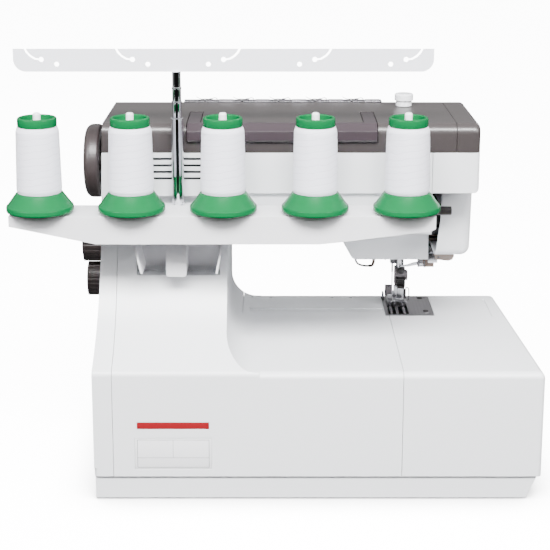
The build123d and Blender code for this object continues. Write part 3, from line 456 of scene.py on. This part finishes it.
# ---------------------------------------------------------------- details of the presser
bm = bmesh.new()
knob = [
    (0.1, -1.2), (3.2, -1.2), (3.5, -0.9), (3.5, 0.9), (3.3, 1.35), (2.7, 1.6), (1.5, 1.72), (0.1, 1.75),
]
lathe(bm, knob, 36, (-125.4, -75.5, 157.2), ONTO_REAR, closed=False)
show("ankle_knob", bm, dark, "presser_unit")
bm = bmesh.new()
block(bm, -128.9, -122.6, -80.8, -79.4, 126.4, 139.0, edge=0.5)
block(bm, -127.9, -124.6, -79.5, -78.6, 127.2, 138.0, edge=0.4)
block(bm, -122.4, -118.8, -83.4, -80.4, 125.8, 140.2, edge=0.5)
show("foot_shank", bm, bright, "presser_unit")
bm = bmesh.new()
block(bm, -116.6, -110.0, -83.2, -76.8, 130.2, 140.6, edge=0.6)
show("foot_block", bm, gunmetal, "presser_unit")
bm = bmesh.new()
for k in range(7):
    block(bm, -131.4, -129.0, -80.6, -78.4, 127.0 + 1.5 * k, 128.0 + 1.5 * k, edge=0.25)
show("foot_spring", bm, dark, "presser_unit")
loop_path = [
    (-130.4, -78, 138.4), (-132.6, -78, 138.6), (-133.9, -78, 137.0), (-134.1, -78, 131.5),
    (-134.0, -78, 126.2), (-132.4, -78, 125.4),
]
wire("foot_loop", loop_path, (0.55, 0.55), steel, "presser_unit")
bm = bmesh.new()
block(bm, -133.0, -129.6, -83.4, -82.2, 146.6, 154.4, edge=0.4)
show("ankle_side_knob", bm, shade_and_knob_black, "presser_unit")

# ---------------------------------------------------------------- screw heads of the needle plate
bm = bmesh.new()
screw_head = [(0.1, 0.5), (2.3, 0.5), (2.6, 0.35), (2.8, 0.0), (2.8, -0.6), (0.1, -0.6)]
for x, y in ((-149.5, -58.6), (-147.5, -103.0)):
    lathe(bm, screw_head, 28, (x, y, PLATE_TOP_Z), closed=False)
show("plate_screw_heads", bm, dark, "machine_body")

# ---------------------------------------------------------------- floor, light, camera
bpy.ops.mesh.primitive_plane_add(size=30, location=(0, 0, -0.0005))
floor = bpy.context.object
floor.name = "floor"
ground = Tree("floor")
grain = ground.add("ShaderNodeTexNoise", {"Vector": ground.coords.outputs["Object"], "Scale": 3.0})
tone = ground.add("ShaderNodeMix", {"Factor": grain.outputs["Fac"]}, data_type="RGBA")
tone.inputs["A"].default_value = (0.88, 0.88, 0.885, 1)
tone.inputs["B"].default_value = (0.90, 0.90, 0.905, 1)
ground.link(tone.outputs["Result"], "Base Color")
ground.link(tone.outputs["Result"], "Emission Color")
# the floor glows white, less so close to the machine, which gives it a soft contact shadow
near = ground.add("ShaderNodeAmbientOcclusion", {"Distance": 0.05}, samples=8)
contact = ground.add("ShaderNodeMapRange", {
    "Value": near.outputs["AO"], "From Min": 0.3, "From Max": 1.0, "To Min": 0.25, "To Max": 13.0})
contact.interpolation_type = "SMOOTHSTEP"
ground.link(contact.outputs["Result"], "Emission Strength")
ground.shader.inputs["Roughness"].default_value = 0.7
ground.shader.inputs["Specular IOR Level"].default_value = 0.0
floor.data.materials.append(ground.material)
floor.visible_diffuse = False
floor.visible_glossy = False

# a white studio, dimmer below, with a dark gap low on the camera's side of the room
world = bpy.data.worlds.new("studio")
bpy.context.scene.world = world
world.use_nodes = True
sky = world.node_tree
look = sky.nodes.new("ShaderNodeTexCoord")
split = sky.nodes.new("ShaderNodeSeparateXYZ")
sky.links.new(look.outputs["Generated"], split.inputs[0])


def sky_range(source, low, high, start, end):
    """Goes smoothly from start to end while the source goes from low to high."""
    made = sky.nodes.new("ShaderNodeMapRange")
    made.interpolation_type = "SMOOTHSTEP"
    sky.links.new(source, made.inputs["Value"])
    for key, value in (("From Min", low), ("From Max", high), ("To Min", start), ("To Max", end)):
        made.inputs[key].default_value = value
    return made.outputs["Result"]


def sky_math(operation, a, b):
    made = sky.nodes.new("ShaderNodeMath")
    made.operation = operation
    sky.links.new(a, made.inputs[0])
    sky.links.new(b, made.inputs[1])
    return made.outputs[0]


upward = sky_range(split.outputs["Z"], -0.2, 0.75, 0.2, 0.9)
gap = sky_range(split.outputs["Y"], 0.30, 0.62, 1.0, 0.04)
above = sky_range(split.outputs["Z"], -0.05, 0.25, 0.0, 1.0)
strength = sky_math("MULTIPLY", upward, sky_math("MAXIMUM", gap, above))
sky.links.new(strength, sky.nodes["Background"].inputs["Strength"])
sky.nodes["Background"].inputs["Color"].default_value = (0.985, 0.99, 1.0, 1)


def lamp(name, where, aim, size, power):
    """A soft rectangular light, size given as width and height."""
    data = bpy.data.lights.new(name, "AREA")
    data.shape = "RECTANGLE"
    data.size, data.size_y = size
    data.energy = power
    made = bpy.data.objects.new(name, data)
    bpy.context.scene.collection.objects.link(made)
    made.location = where
    made.rotation_euler = (Vector(aim) - Vector(where)).to_track_quat("-Z", "Y").to_euler()


lamp("key", (-1.5, 1.3, 1.3), (0, 0, 0.15), (1.0, 1.0), 42)
lamp("top", (0.0, 1.45, 1.75), (0, 0.1, 0.1), (1.6, 0.6), 190)
lamp("fill", (1.6, 1.2, 1.3), (0, 0, 0.2), (1.0, 1.0), 42)

data = bpy.data.cameras.new("camera")
camera = bpy.data.objects.new("camera", data)
bpy.context.scene.collection.objects.link(camera)
bpy.context.scene.camera = camera
data.sensor_width = SENSOR
data.lens = LENS
data.shift_x, data.shift_y = LENS_SHIFT
data.clip_start, data.clip_end = 0.05, 60
camera.location = CAMERA_AT
camera.rotation_euler = (radians(90 - CAMERA_TILT), 0, radians(180))
